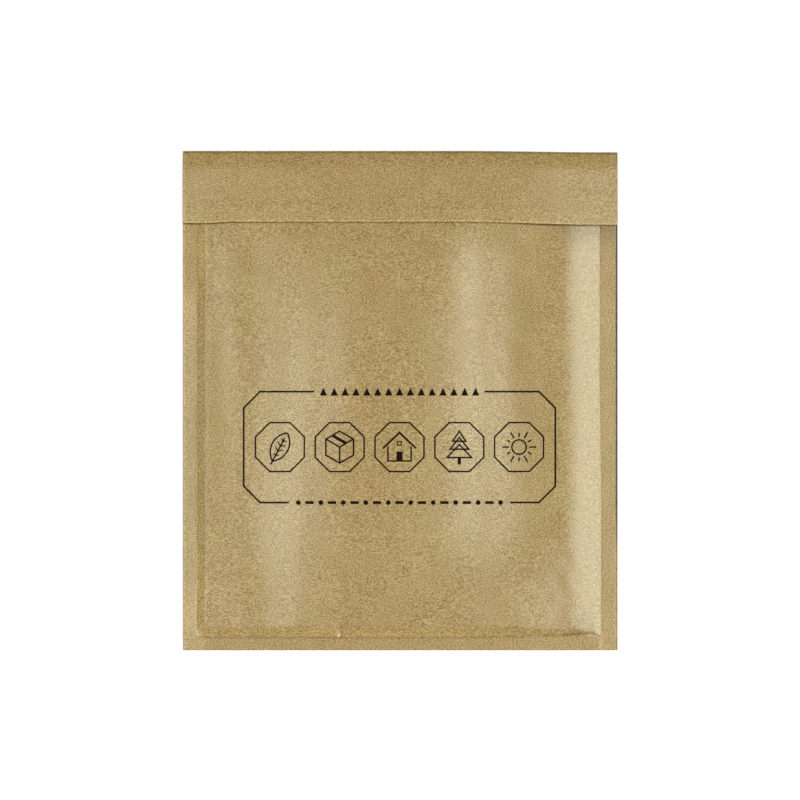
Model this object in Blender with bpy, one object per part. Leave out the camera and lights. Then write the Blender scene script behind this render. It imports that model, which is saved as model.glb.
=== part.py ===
"""A bubble-lined padded envelope, lying flat with its front up and its flap folded over.

Lengths are in metres. X runs across the envelope, Y from its bottom fold to its top fold,
and Z up from the surface that it lies on. The origin is on that surface, under the middle.
"""

import functools
import math
from collections import namedtuple

import bmesh
import bpy

# The outer paper sheet: one piece, folded at the bottom, glued down both sides, with a flap
ENVELOPE_WIDTH = 0.2400
ENVELOPE_HEIGHT = 0.2760
FLAP_LENGTH = 0.0393
LEFT_SEAM = 0.0077
RIGHT_SEAM = 0.0095
BOTTOM_MARGIN = 0.0071  # bare folded paper below the lining
MOUTH_SETBACK = 0.0080  # from the top fold down to the front wall's free edge
PAPER = 0.0002
TOP_FOLD_RADIUS = 0.0005  # inside the fold
SLIT = 0.0002  # air between the two walls where no lining parts them

# How high the glued seams stand above the surface that the envelope lies on
SEAM_HEIGHT = 0.0033

# How far from a seam or fold the padding takes to reach its full height
LEFT_ROLL = 0.0048
RIGHT_ROLL = 0.0200
BOTTOM_ROLL = 0.0100
BACK_ROLL = 0.0160
FLAP_TOP_ROLL = 0.0105
ROLL_POWER = 2.2
LEFT_POWER = 1.0
RIGHT_POWER = 2.1
MOUTH_TAPER = 0.0300  # length over which the padding thins towards the mouth
MOUTH_SHARE = 0.94  # what is left of its height there

# The lining: one web of bubble film, folded at the bottom and welded down both sides
LINING = 0.0016
POCKET_GAP = 0.0004
LINING_INSET = 0.0035  # from the seams and the bottom crease to the film's edge
LINING_WELD = 0.0030
LINING_SETBACK = 0.0030  # from the paper's mouth down to the film's

# The closure: a band of adhesive under the flap, covered by a peel-off strip
ADHESIVE = 0.00015
ADHESIVE_WIDTH = 0.0150
ADHESIVE_END_MARGIN = 0.0090
RELEASE = 0.00012
RELEASE_WIDTH = 0.0210
RELEASE_END_MARGIN = 0.0050
RELEASE_EDGE_MARGIN = 0.0075  # from the flap's free edge
FLAP_EDGE_GAP = 0.0004

# The flap's right end leans down, from this place across to its side edge
LEAN_START = 0.0700
FLAP_LEAN = 0.0004

CLEARANCE = 0.0003  # between pieces that touch on the real envelope

# Mesh density
SEAM_CELLS = 3
ROLL_CELLS = 8
WIDE_CELLS = 28
TALL_CELLS = 12
NECK_CELLS = 3
FOLD_CELLS = 4
FLAP_CELLS = 7
SHARP_ANGLE = math.radians(35)

# Worked out from the sizes above
LEFT = -ENVELOPE_WIDTH / 2
RIGHT = ENVELOPE_WIDTH / 2
TOP = ENVELOPE_HEIGHT / 2
BOTTOM = -ENVELOPE_HEIGHT / 2
LEFT_LINE = LEFT + LEFT_SEAM
RIGHT_LINE = RIGHT - RIGHT_SEAM
BOTTOM_LINE = BOTTOM + BOTTOM_MARGIN
MOUTH = TOP - MOUTH_SETBACK
FLAP_EDGE = TOP - FLAP_LENGTH
FOLD_OUTSIDE = TOP_FOLD_RADIUS + PAPER
FOLD_CENTRE = TOP - FOLD_OUTSIDE
NOSE_RADIUS = PAPER + SLIT / 2
BACK_DROP = SEAM_HEIGHT - SLIT / 2 - PAPER
FRONT_RISE = PAPER + 2 * (CLEARANCE + LINING) + POCKET_GAP - SEAM_HEIGHT - SLIT / 2
CLOSURE_STACK = 3 * CLEARANCE + ADHESIVE + RELEASE

# Soft upright ridges in the padded front: (place across, height) at stations up it.
# Places are shares of the width between the seam lines and of the whole height.
Station = namedtuple("Station", "up ridges")
STATIONS = (
    Station(
        0.10,
        (
            (0.030, 0.00040), (0.110, 0.00050), (0.160, 0.00058), (0.210, 0.00088),
            (0.265, 0.00122), (0.350, 0.00142), (0.400, 0.00142), (0.570, 0.00100),
            (0.700, 0.00075), (0.790, 0.00060), (0.850, 0.00033), (0.915, 0.00004),
        ),
    ),
    Station(
        0.25,
        (
            (0.055, 0.00025), (0.110, 0.00037), (0.145, 0.00050), (0.200, 0.00097),
            (0.270, 0.00170), (0.380, 0.00230), (0.450, 0.00235), (0.600, 0.00175),
            (0.718, 0.00075), (0.835, 0.00003), (0.870, 0.00012), (0.915, 0.00028),
        ),
    ),
    Station(
        0.58,
        (
            (0.050, 0.00005), (0.110, 0.00030), (0.140, 0.00032), (0.200, 0.00059),
            (0.300, 0.00145), (0.420, 0.00230), (0.500, 0.00215), (0.620, 0.00162),
            (0.718, 0.00072), (0.797, 0.00010), (0.850, 0.00015), (0.912, 0.00032),
        ),
    ),
    Station(
        0.76,
        (
            (0.030, 0.00050), (0.090, 0.00061), (0.125, 0.00061), (0.200, 0.00088),
            (0.300, 0.00136), (0.420, 0.00174), (0.540, 0.00160), (0.625, 0.00137),
            (0.718, 0.00052), (0.800, 0.00007), (0.850, 0.00014), (0.915, 0.00030),
        ),
    ),
)
RIDGE_FADE = 0.040
RIDGE_END = 0.014  # how far they run on under the flap


def share(value):
    """value, kept between 0 and 1."""
    return min(max(value, 0.0), 1.0)


def smooth(value):
    """0 to 1 with a level start and end."""
    value = share(value)
    return value * value * (3 - 2 * value)


def roll(distance, width, power=ROLL_POWER):
    """How much of its height the padding has, this far in from an edge."""
    return 1 - (1 - share(distance / width)) ** power


def between(start, end, part):
    return start + (end - start) * part


def front_padding(x, y):
    right = roll(RIGHT_LINE - x, RIGHT_ROLL, RIGHT_POWER)
    across = roll(x - LEFT_LINE, LEFT_ROLL, LEFT_POWER) * right
    taper = between(1, MOUTH_SHARE, smooth(1 - (MOUTH - y) / MOUTH_TAPER))
    return across * roll(y - BOTTOM_LINE, BOTTOM_ROLL) * taper


def back_padding(x, y):
    across = roll(x - LEFT_LINE, BACK_ROLL) * roll(RIGHT_LINE - x, BACK_ROLL)
    return across * roll(y - BOTTOM_LINE, BACK_ROLL)


@functools.cache
def ridge_points(up):
    """The ridges' (place, height) at this share of the envelope's height."""
    pairs = [pair for pair in zip(STATIONS, STATIONS[1:]) if up < pair[1].up]
    low, high = pairs[0] if pairs else STATIONS[-2:]
    part = share((up - low.up) / (high.up - low.up))
    return [
        (between(a[0], b[0], part), between(a[1], b[1], part))
        for a, b in zip(low.ridges, high.ridges)
    ]


@functools.cache
def ridge_slopes(up):
    """The slope at each of those points, level on crests, in hollows and at both ends."""
    points = ridge_points(up)
    rises = [(b[1] - a[1]) / (b[0] - a[0]) for a, b in zip(points, points[1:])]
    inner = [2 * a * b / (a + b) if a * b > 0 else 0 for a, b in zip(rises, rises[1:])]
    return [0, *inner, 0]


def ridge_fade(y):
    """The flap presses the ridges flat."""
    return smooth((FLAP_EDGE + RIDGE_END - y) / RIDGE_FADE)


def ridge_height(x, y):
    across = (x - LEFT_LINE) / (RIGHT_LINE - LEFT_LINE)
    up = (y - BOTTOM) / ENVELOPE_HEIGHT
    points = ridge_points(up)
    slopes = ridge_slopes(up)
    for i in range(len(points) - 1):
        (start, low), (end, high) = points[i : i + 2]
        if across < end:
            part = share((across - start) / (end - start))
            lean = (1 - part) * slopes[i] - part * slopes[i + 1]
            bow = (end - start) * part * (1 - part) * lean
            return between(low, high, smooth(part)) + bow
    return points[-1][1]


def ridges(x, y):
    return ridge_height(x, y) * ridge_fade(y) * front_padding(x, y)


def front_inside(x, y):
    return SEAM_HEIGHT + SLIT / 2 + FRONT_RISE * front_padding(x, y) + ridges(x, y)


def front_outside(x, y):
    glued = x <= LEFT_LINE or x >= RIGHT_LINE
    return SEAM_HEIGHT + PAPER if glued else front_inside(x, y) + PAPER


def back_inside(x, y):
    return SEAM_HEIGHT - SLIT / 2 - BACK_DROP * back_padding(x, y)


def back_outside(x, y):
    glued = x <= LEFT_LINE or x >= RIGHT_LINE
    return SEAM_HEIGHT - PAPER if glued else back_inside(x, y) - PAPER


def flap_underside(x, y):
    """It lies on the closure strips, dips to the front wall at its free edge, and turns
    down to the fold at its top."""
    dip = smooth((y - FLAP_EDGE) / RELEASE_EDGE_MARGIN)
    gap = between(FLAP_EDGE_GAP, CLOSURE_STACK, dip) + ridge_allowance(y)
    body = SEAM_HEIGHT + PAPER + SLIT / 2 + FRONT_RISE + gap
    body -= FLAP_LEAN * smooth((x - LEAN_START) / (RIGHT - LEAN_START))
    fold = SEAM_HEIGHT + TOP_FOLD_RADIUS
    return between(fold, body, roll(FOLD_CENTRE - y, FLAP_TOP_ROLL))


def ridge_allowance(y):
    """How much the tallest ridge lifts the flap here."""
    points = ridge_points((y - BOTTOM) / ENVELOPE_HEIGHT)
    return ridge_fade(y) * max(height for _, height in points)


def graded(start, end, cells, power=1.5):
    """Places from start to end, closer together near start."""
    return [between(start, end, (i / cells) ** power) for i in range(cells + 1)]


def even(start, end, cells):
    return graded(start, end, cells, power=1)


def columns_across(left, left_line, right_line, right):
    """Places across a pouch: its welded edges, the two rolls and the level middle."""
    from_left = graded(left_line, left_line + BACK_ROLL, ROLL_CELLS)
    from_right = graded(right_line, right_line - RIGHT_ROLL, ROLL_CELLS)
    return (
        even(left, left_line, SEAM_CELLS)[:-1]
        + from_left[:-1]
        + even(from_left[-1], from_right[-1], WIDE_CELLS)
        + from_right[-2::-1]
        + even(right_line, right, SEAM_CELLS)[1:]
    )


def rows_up(bottom, crease, mouth):
    """Places up a pouch: below its crease, the bottom roll and the rest to its mouth."""
    roll_rows = graded(crease, crease + BACK_ROLL, ROLL_CELLS)
    return [bottom] + roll_rows[:-1] + even(roll_rows[-1], mouth, TALL_CELLS)


def add_row(bm, points):
    return [bm.verts.new(point) for point in points]


def add_surface(bm, columns, rows, height):
    return [add_row(bm, [(x, y, height(x, y)) for x in columns]) for y in rows]


def add_face(bm, *corners):
    """A face through these corners, where a corner may be named twice."""
    ring = list(dict.fromkeys(corners))
    if len(ring) > 2:
        bm.faces.new(ring)


def add_band(bm, lower, upper, first=0, last=None):
    """A band of faces between two rows of vertices, over some of their columns."""
    last = len(lower) - 1 if last is None else last
    for i in range(first, last):
        add_face(bm, lower[i], lower[i + 1], upper[i + 1], upper[i])


def add_bands(bm, rows, first=0, last=None):
    for lower, upper in zip(rows, rows[1:]):
        add_band(bm, lower, upper, first, last)


def build_pouch(bm, columns, rows, pocket, walls, nose, tail=()):
    """A flat pouch as one closed shell, open at its mouth. Its walls part over the pocket's
    columns, from the pocket's first row up, and are one with each other elsewhere. The back
    wall goes on past the mouth over the tail, a list of (outer row, inner row)."""
    first, last, base = pocket
    outer_front = add_surface(bm, columns, rows, walls.outer_front)
    outer_back = add_surface(bm, columns, rows, walls.outer_back)
    inner_front = add_surface(bm, columns, rows[base:], walls.inner_front)
    inner_back = add_surface(bm, columns, rows[base:], walls.inner_back)
    weld_pocket_sides(bm, inner_front, inner_back, first, last)
    nose_row = add_row(bm, nose)

    add_bands(bm, outer_front)
    add_bands(bm, outer_back)
    add_bands(bm, inner_front, first, last)
    add_bands(bm, inner_back, first, last)
    add_band(bm, outer_back[0], nose_row)
    add_band(bm, nose_row, outer_front[0])
    add_band(bm, inner_back[0], inner_front[0], first, last)

    mouth_inside = inner_back[-1][:first] + inner_front[-1][first : last + 1]
    add_band(bm, outer_front[-1], mouth_inside + inner_back[-1][last + 1 :])

    outer_tail = [outer_back[-1]] + [add_row(bm, outer) for outer, _ in tail]
    inner_tail = [inner_back[-1]] + [add_row(bm, inner) for _, inner in tail]
    add_bands(bm, outer_tail)
    add_bands(bm, inner_tail)
    add_band(bm, outer_tail[-1], inner_tail[-1])

    for side in (0, -1):
        add_face(bm, outer_back[0][side], nose_row[side], outer_front[0][side])
        for j in range(len(rows) - 2):
            add_face(
                bm,
                outer_back[j][side],
                outer_back[j + 1][side],
                outer_front[j + 1][side],
                outer_front[j][side],
            )
        add_face(
            bm,
            outer_back[-2][side],
            outer_back[-1][side],
            inner_back[-1][side],
            outer_front[-1][side],
            outer_front[-2][side],
        )
        for j in range(len(tail)):
            add_face(
                bm,
                outer_tail[j][side],
                outer_tail[j + 1][side],
                inner_tail[j + 1][side],
                inner_tail[j][side],
            )
    remove_loose(bm)


def weld_pocket_sides(bm, inner_front, inner_back, first, last):
    """The pocket's front and back share one vertex at each end of every row."""
    for front, back in zip(inner_front, inner_back):
        for i in (first, last):
            bm.verts.remove(front[i])
            front[i] = back[i]


def remove_loose(bm):
    """Vertices that no face uses, such as those of a pocket wall outside its pocket."""
    loose = [vertex for vertex in bm.verts if not vertex.link_faces]
    bmesh.ops.delete(bm, geom=loose, context="VERTS")


def finish_object(name, bm, parent, colour, roughness):
    """Turns the mesh into a named object with its own material."""
    bmesh.ops.recalc_face_normals(bm, faces=bm.faces)
    mesh = bpy.data.meshes.new(name)
    bm.to_mesh(mesh)
    bm.free()
    mesh.shade_smooth()
    mesh.set_sharp_from_angle(angle=SHARP_ANGLE)
    mesh.materials.append(make_material(name, colour, roughness))
    made = bpy.data.objects.new(name, mesh)
    bpy.context.scene.collection.objects.link(made)
    made.parent = parent
    return made


def make_material(name, colour, roughness):
    material = bpy.data.materials.new(name)
    material.use_nodes = True
    shader = material.node_tree.nodes["Principled BSDF"]
    shader.inputs["Base Color"].default_value = (*colour, 1)
    shader.inputs["Roughness"].default_value = roughness
    shader.inputs["Metallic"].default_value = 0
    return material


Walls = namedtuple("Walls", "outer_front outer_back inner_front inner_back")


def glued_front_inside(x, y):
    glued = x <= LEFT_LINE or x >= RIGHT_LINE
    return SEAM_HEIGHT if glued else front_inside(x, y)


def glued_back_inside(x, y):
    glued = x <= LEFT_LINE or x >= RIGHT_LINE
    return SEAM_HEIGHT if glued else back_inside(x, y)


def neck_rows(columns):
    """The back wall's last stretch, from the mouth up to the top fold."""
    for step in range(1, NECK_CELLS + 1):
        part = step / NECK_CELLS
        y = between(MOUTH, FOLD_CENTRE, part)
        outer = [
            (
                x,
                y,
                between(
                    back_outside(x, MOUTH), SEAM_HEIGHT - FOLD_OUTSIDE, smooth(part)
                ),
            )
            for x in columns
        ]
        inner = [
            (
                x,
                y,
                between(
                    glued_back_inside(x, MOUTH),
                    SEAM_HEIGHT - TOP_FOLD_RADIUS,
                    smooth(part),
                ),
            )
            for x in columns
        ]
        yield outer, inner


def fold_rows(columns):
    """Half a turn round the top fold, without its first row."""
    for step in range(1, FOLD_CELLS):
        angle = math.pi * (step / FOLD_CELLS - 0.5)
        yield tuple(
            [
                (
                    x,
                    FOLD_CENTRE + radius * math.cos(angle),
                    SEAM_HEIGHT + radius * math.sin(angle),
                )
                for x in columns
            ]
            for radius in (FOLD_OUTSIDE, TOP_FOLD_RADIUS)
        )


def flap_rows(columns):
    """From the top fold down over the front to the flap's free edge."""
    level = FOLD_CENTRE - FLAP_TOP_ROLL
    places = graded(FOLD_CENTRE, level, ROLL_CELLS)[:-1]
    for y in places + even(level, FLAP_EDGE, FLAP_CELLS):
        yield (
            [(x, y, flap_underside(x, y) + PAPER) for x in columns],
            [(x, y, flap_underside(x, y)) for x in columns],
        )


def add_kraft_envelope(parent):
    """The outer sheet: back wall, bottom fold, front wall, top fold and flap in one piece."""
    columns = paper_columns()
    rows = rows_up(BOTTOM + NOSE_RADIUS, BOTTOM_LINE, MOUTH)
    pocket = (SEAM_CELLS, len(columns) - 1 - SEAM_CELLS, 0)
    walls = Walls(front_outside, back_outside, glued_front_inside, glued_back_inside)
    nose = [(x, BOTTOM, SEAM_HEIGHT) for x in columns]
    tail = [*neck_rows(columns), *fold_rows(columns), *flap_rows(columns)]
    bm = bmesh.new()
    build_pouch(bm, columns, rows, pocket, walls, nose, tail)
    return finish_object("kraft_envelope", bm, parent, (0.434, 0.319, 0.141), 0.55)


def lining_front(x, y):
    return front_inside(x, y) - CLEARANCE


def lining_back(x, y):
    return back_inside(x, y) + CLEARANCE


def pocket_middle(x, y):
    return (lining_front(x, y) + lining_back(x, y)) / 2


def pocket_front(x, y):
    return pocket_middle(x, y) + (POCKET_GAP + ridges(x, y)) / 2


def pocket_back(x, y):
    return pocket_middle(x, y) - (POCKET_GAP + ridges(x, y)) / 2


def add_bubble_lining(parent):
    """The padding: a pouch of bubble film inside the paper, open at its own mouth."""
    left = LEFT_LINE + LINING_INSET
    right = RIGHT_LINE - LINING_INSET
    bottom = BOTTOM_LINE + LINING_INSET
    columns = columns_across(left, left + LINING_WELD, right - LINING_WELD, right)
    rows = rows_up(bottom, bottom + LINING, MOUTH - LINING_SETBACK)
    pocket = (SEAM_CELLS, len(columns) - 1 - SEAM_CELLS, 1)
    walls = Walls(lining_front, lining_back, pocket_front, pocket_back)
    nose = [(x, bottom - CLEARANCE / 2, pocket_middle(x, bottom)) for x in columns]
    bm = bmesh.new()
    build_pouch(bm, columns, rows, pocket, walls, nose)
    return finish_object("bubble_lining", bm, parent, (0.78, 0.80, 0.80), 0.30)


def paper_columns():
    return columns_across(LEFT, LEFT_LINE, RIGHT_LINE, RIGHT)


def add_strip(name, parent, ends, edges, top, thickness, colour, roughness):
    """A thin strip under the flap that follows its curve."""
    start, end = ends
    columns = [start, *[x for x in paper_columns() if start < x < end], end]
    bm = bmesh.new()
    surfaces = [
        add_surface(bm, columns, edges, lambda x, y, down=down: top(x, y) - down)
        for down in (0, thickness)
    ]
    upper, lower = surfaces
    add_bands(bm, upper)
    add_bands(bm, lower)
    for edge in (0, -1):
        add_band(bm, upper[edge], lower[edge])
        add_face(bm, upper[0][edge], upper[1][edge], lower[1][edge], lower[0][edge])
    return finish_object(name, bm, parent, colour, roughness)


def adhesive_top(x, y):
    return flap_underside(x, y) - CLEARANCE


def release_top(x, y):
    return adhesive_top(x, y) - ADHESIVE - CLEARANCE


def add_closure(parent):
    """The self-seal closure that the flap hides."""
    lower = FLAP_EDGE + RELEASE_EDGE_MARGIN
    upper = lower + RELEASE_WIDTH
    middle = (lower + upper) / 2
    add_strip(
        "release_strip",
        parent,
        (LEFT + RELEASE_END_MARGIN, RIGHT - RELEASE_END_MARGIN),
        (lower, upper),
        release_top,
        RELEASE,
        (0.80, 0.76, 0.62),
        0.35,
    )
    add_strip(
        "adhesive_strip",
        parent,
        (LEFT + ADHESIVE_END_MARGIN, RIGHT - ADHESIVE_END_MARGIN),
        (middle - ADHESIVE_WIDTH / 2, middle + ADHESIVE_WIDTH / 2),
        adhesive_top,
        ADHESIVE,
        (0.72, 0.68, 0.52),
        0.25,
    )


def clear_scene():
    for made in list(bpy.data.objects):
        bpy.data.objects.remove(made, do_unlink=True)


def main():
    clear_scene()
    envelope = bpy.data.objects.new("padded_envelope", None)
    bpy.context.scene.collection.objects.link(envelope)
    add_kraft_envelope(envelope)
    add_bubble_lining(envelope)
    add_closure(envelope)


main()
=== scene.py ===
"""Dresses the padded envelope: kraft paper, bubble film, closure strips and front print.

Lengths are in metres, in the frame of the CAD model: X across, Y towards the top fold and
Z up through the front.
"""

import functools
import math

from collections import namedtuple

import bmesh
import bpy
import numpy as np
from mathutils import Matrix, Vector, noise
from mathutils.bvhtree import BVHTree


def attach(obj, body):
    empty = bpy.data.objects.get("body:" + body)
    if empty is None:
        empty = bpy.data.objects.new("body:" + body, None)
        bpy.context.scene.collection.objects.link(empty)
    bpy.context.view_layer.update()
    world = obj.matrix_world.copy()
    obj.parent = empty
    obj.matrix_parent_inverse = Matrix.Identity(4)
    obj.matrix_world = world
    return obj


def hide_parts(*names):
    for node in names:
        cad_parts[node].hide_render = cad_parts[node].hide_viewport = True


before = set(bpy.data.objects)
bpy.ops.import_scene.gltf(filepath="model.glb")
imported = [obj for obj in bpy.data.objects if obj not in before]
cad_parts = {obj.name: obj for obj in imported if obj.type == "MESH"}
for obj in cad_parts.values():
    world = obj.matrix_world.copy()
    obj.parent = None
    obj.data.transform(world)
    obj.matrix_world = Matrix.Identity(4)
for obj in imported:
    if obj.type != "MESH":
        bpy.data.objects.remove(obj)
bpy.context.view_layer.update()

MM = 0.001

# The envelope's sizes, the same as those of the CAD model
ENVELOPE_WIDTH = 0.2400
ENVELOPE_HEIGHT = 0.2760
FLAP_LENGTH = 0.0393
LEFT_SEAM = 0.0077
RIGHT_SEAM = 0.0095
BOTTOM_MARGIN = 0.0071
MOUTH_SETBACK = 0.0080
PAPER = 0.0002
TOP_FOLD_RADIUS = 0.0005
SLIT = 0.0002
SEAM_HEIGHT = 0.0033
LEFT_ROLL = 0.0048
RIGHT_ROLL = 0.0200
BOTTOM_ROLL = 0.0100
BACK_ROLL = 0.0160
FLAP_TOP_ROLL = 0.0105
ROLL_POWER = 2.2
LEFT_POWER = 1.0
RIGHT_POWER = 2.1
MOUTH_TAPER = 0.0300
MOUTH_SHARE = 0.94
LINING = 0.0016
POCKET_GAP = 0.0004
LINING_INSET = 0.0035
LINING_SETBACK = 0.0030
RELEASE_EDGE_MARGIN = 0.0075
FLAP_EDGE_GAP = 0.0004
LEAN_START = 0.0700
FLAP_LEAN = 0.0004
CLOSURE_STACK = 0.00117
CLEARANCE = 0.0003

LEFT = -ENVELOPE_WIDTH / 2
RIGHT = ENVELOPE_WIDTH / 2
TOP = ENVELOPE_HEIGHT / 2
BOTTOM = -ENVELOPE_HEIGHT / 2
LEFT_LINE = LEFT + LEFT_SEAM
RIGHT_LINE = RIGHT - RIGHT_SEAM
BOTTOM_LINE = BOTTOM + BOTTOM_MARGIN
MOUTH = TOP - MOUTH_SETBACK
FLAP_EDGE = TOP - FLAP_LENGTH
FOLD_RADIUS = TOP_FOLD_RADIUS + PAPER / 2
FOLD_CENTRE = TOP - TOP_FOLD_RADIUS - PAPER
BACK_DROP = SEAM_HEIGHT - SLIT / 2 - PAPER
FRONT_RISE = PAPER + 2 * (CLEARANCE + LINING) + POCKET_GAP - SEAM_HEIGHT - SLIT / 2
PLY_GAP = 0.00001

# Soft upright ridges in the padded front: (place across, height) at stations up it.
# Places are shares of the width between the seam lines and of the whole height. The
# heights are mostly a scratch program's results, worked out from the photograph's
# brightness, with an offset added and some of them changed by hand.
Station = namedtuple("Station", "up ridges")
STATIONS = (
    Station(
        0.10,
        (
            (0.030, 0.00040), (0.110, 0.00050), (0.160, 0.00058), (0.210, 0.00088),
            (0.265, 0.00122), (0.350, 0.00142), (0.400, 0.00142), (0.570, 0.00100),
            (0.700, 0.00075), (0.790, 0.00060), (0.850, 0.00033), (0.915, 0.00004),
        ),
    ),
    Station(
        0.25,
        (
            (0.055, 0.00025), (0.110, 0.00037), (0.145, 0.00050), (0.200, 0.00097),
            (0.270, 0.00170), (0.380, 0.00230), (0.450, 0.00235), (0.600, 0.00175),
            (0.718, 0.00075), (0.835, 0.00003), (0.870, 0.00012), (0.915, 0.00028),
        ),
    ),
    Station(
        0.58,
        (
            (0.050, 0.00005), (0.110, 0.00030), (0.140, 0.00032), (0.200, 0.00059),
            (0.300, 0.00145), (0.420, 0.00230), (0.500, 0.00215), (0.620, 0.00162),
            (0.718, 0.00072), (0.797, 0.00010), (0.850, 0.00015), (0.912, 0.00032),
        ),
    ),
    Station(
        0.76,
        (
            (0.030, 0.00050), (0.090, 0.00061), (0.125, 0.00061), (0.200, 0.00088),
            (0.300, 0.00136), (0.420, 0.00174), (0.540, 0.00160), (0.625, 0.00137),
            (0.718, 0.00052), (0.800, 0.00007), (0.850, 0.00014), (0.915, 0.00030),
        ),
    ),
)
RIDGE_FADE = 0.040
RIDGE_END = 0.014  # how far they run on under the flap

# Fine relief of the paper, on top of the CAD model's form
WAVE_HEIGHT = 0.00012
WAVE_SCALE = Vector((30, 12, 0))
COCKLE_HEIGHT = 0.00002
COCKLE_SCALE = 110
COCKLE_SHIFT = Vector((7, 3, 1))
FLAP_COCKLE = 0.6  # the flap's share of the unevenness
FLAP_COCKLE_SHIFT = 0.3
RELIEF_FADE = 0.012  # how far in from the creases the relief is full
SLIT_FADE = 0.006
BUBBLE_PITCH = 0.0115
BUBBLE_RELIEF = 0.000012
# Where the bubbles show more: centre, radius and added height
BUBBLE_ZONES = (
    ((0.088, -0.100), 0.030, 0.00005),
    ((-0.085, -0.095), 0.028, 0.00003),
)
# Small folds that run up from the bottom crease: x, width and length
PUCKERS = (
    (-0.0346, 0.0009, 0.0115),
    (0.1040, 0.0012, 0.0050),
)
PUCKER_HEIGHT = 0.00015
PUCKER_SHADE_ASIDE = 0.0022  # how far to the right their dark side lies

# How far the flap's free edge and the top fold run off square at the right, and the
# flap's corner at the left. In this and all that follows, a pair of numbers is where a
# change starts and over what length it happens.
FLAP_SKEW = 0.00165
TOP_SKEW = 0.00075
SKEW_RIGHT = (0.035, 0.075)
CORNER_DROP = 0.00075
SKEW_LEFT = (0.091, 0.018)

# The side creases wander, and the right one also drifts outwards towards the bottom
CREASE_WANDER = 0.0010
RIGHT_WANDER = CREASE_WANDER / 3
WANDER_SCALE = 38
LEFT_SEED = 3
RIGHT_SEED = 9
RIGHT_DRIFT = (-0.0005, 0.0003)
RIGHT_DRIFT_LENGTH = 0.055

# The seams' outer edges: the right one crushed down below the flap, the left one turned
# up a little near the flap and down a little below
CRUSH_WIDTH = 0.0013
CRUSH_DROP = 0.0008
LEFT_LIFT = 0.00015
LEFT_DROOP = 0.00010
DROOP = (0.0135, 0.045)

# Creases of the front. The bottom one rises to the right and hooks down at its end.
CREASE_WIDTH = 0.0006
CREASE_DEPTH = 0.00004
CREASE_RISE = 0.0025
CREASE_RISE_FROM = -0.02
CREASE_RISE_LENGTH = 0.125
CREASE_RISE_POWER = 3
HOOK = (0.1065, 0.004)
HOOK_SHARE = 0.7

# Strengths of the painted shade on the paper, and of the left seam's random darker tone,
# on a scale that ends where the material's painted shade is full
BOTTOM_CREASE_SHADE = 0.5
BOTTOM_CREASE_SHADE_END = (0.085, 0.012)
LEFT_CREASE_SHADE = 0.4
LEFT_CREASE_SHADE_FADE = (-0.095, 0.030)
RIGHT_CREASE_SHADE = 0.1
# Painted shade in a band just past the top of the left roll: strength, offset and width
ROLL_END_SHADE = 0.34
ROLL_SHADE_OFFSET = 0.0004
ROLL_SHADE_WIDTH = 0.0014
# Painted shade beside each pucker
PUCKER_SHADE = 0.6
SEAM_DARK = 0.4
# Painted shade along the flap's top fold: how far below it, and how wide
TOP_SHADE_OFFSET = 0.0009
TOP_SHADE_WIDTH = 0.0006
# Painted shade in the hollow above the bottom crease's right end
HOLLOW_STRENGTH = 0.34
HOLLOW_LENGTH = 0.020
HOLLOW_START = (0.088, 0.010)
HOLLOW_END = 0.1090
HOLLOW_END_FADE = 0.0025
# The painted shadow line under the flap's free edge: stronger towards both ends, wider at
# the right
SHADOW_STRENGTH = 1.05
SHADOW_OFFSET = 0.0002
SHADOW_WIDTH = 0.0009
SHADOW_ADDED_WIDTH = 0.0007
SHADOW_WIDER = (0.055, 0.030)
SHADOW_CENTRE = -0.01
SHADOW_ADDED = 0.5
SHADOW_ENDS = (0.06, 0.03)
SHADOW_CORNER_LOSS = 0.35
SHADOW_CORNER = (0.090, 0.020)
# The soft painted shade below it, near the right corner
SHADE_STRENGTH = 0.52
SHADE_LENGTH = 0.018
SHADE_RIGHT = (0.078, 0.016)
# The painted shadow along the right seam's crushed edge
SIDE_STRENGTH = 2.2
SIDE_WIDTH = 0.0016
SIDE_FADE = (-0.095, 0.040)

# Painted highlights on the paper, and the left seam's random lighter tone, as shares of
# the lightest
# Painted highlights along the left cut edge and along the flap's free edge
CUT_EDGE_HIGHLIGHT = 0.9
CUT_HIGHLIGHT_OFFSET = 0.0009
CUT_HIGHLIGHT_WIDTH = 0.0006
FREE_HIGHLIGHT_OFFSET = 0.0006
FREE_HIGHLIGHT_WIDTH = 0.0009
SEAM_LIGHT = 0.9
TONE_SCALE = 30
TONE_SEED = 17
# A painted highlight on the left roll, towards the flap and towards the bottom
ROLL_HIGHLIGHT = 0.38
ROLL_HIGHLIGHT_PAST = 0.0002
ROLL_TOP_END = (0.048, 0.034)
ROLL_BOTTOM_END = (0.076, 0.024)
# A painted highlight at the bottom crease's right end: where across, how wide, and up to
# what height
CORNER_HIGHLIGHT = 0.1107
CORNER_HIGHLIGHT_WIDTH = 0.0021
CORNER_HIGHLIGHT_TOP = 0.003
# A painted highlight just above the bottom crease
FOOT_HIGHLIGHT = 0.15
FOOT_HEIGHT = 0.0090

# Density of the paper's mesh
FINE_STEP = 0.00032
WIDE_STEP = 0.0022
STEP_GROWTH = 0.22
STEP_SAMPLES = 2000
LEFT_FINE_STEP = 0.0001
LEFT_ROLL_STEP = 0.0008
RIGHT_FINE_STEP = 0.0002
MOUTH_FINE_STEP = 0.0003
MOUTH_WIDE_STEP = 0.0040
FRONT_ROW_STEP = 0.0026
BACK_MARGIN_STEP = 0.0025
BACK_STEP = 0.0090
# Even rows across the flap's free edge: how many, and from where to where
EDGE_ROWS = 15
EDGE_ROWS_ABOVE = 0.0010
EDGE_ROWS_BELOW = 0.0027
BOTTOM_TURN_ROWS = 6
TOP_TURN_ROWS = 8
NECK_ROWS = 4


def share(value):
    """value, kept between 0 and 1."""
    return min(max(value, 0.0), 1.0)


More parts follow.
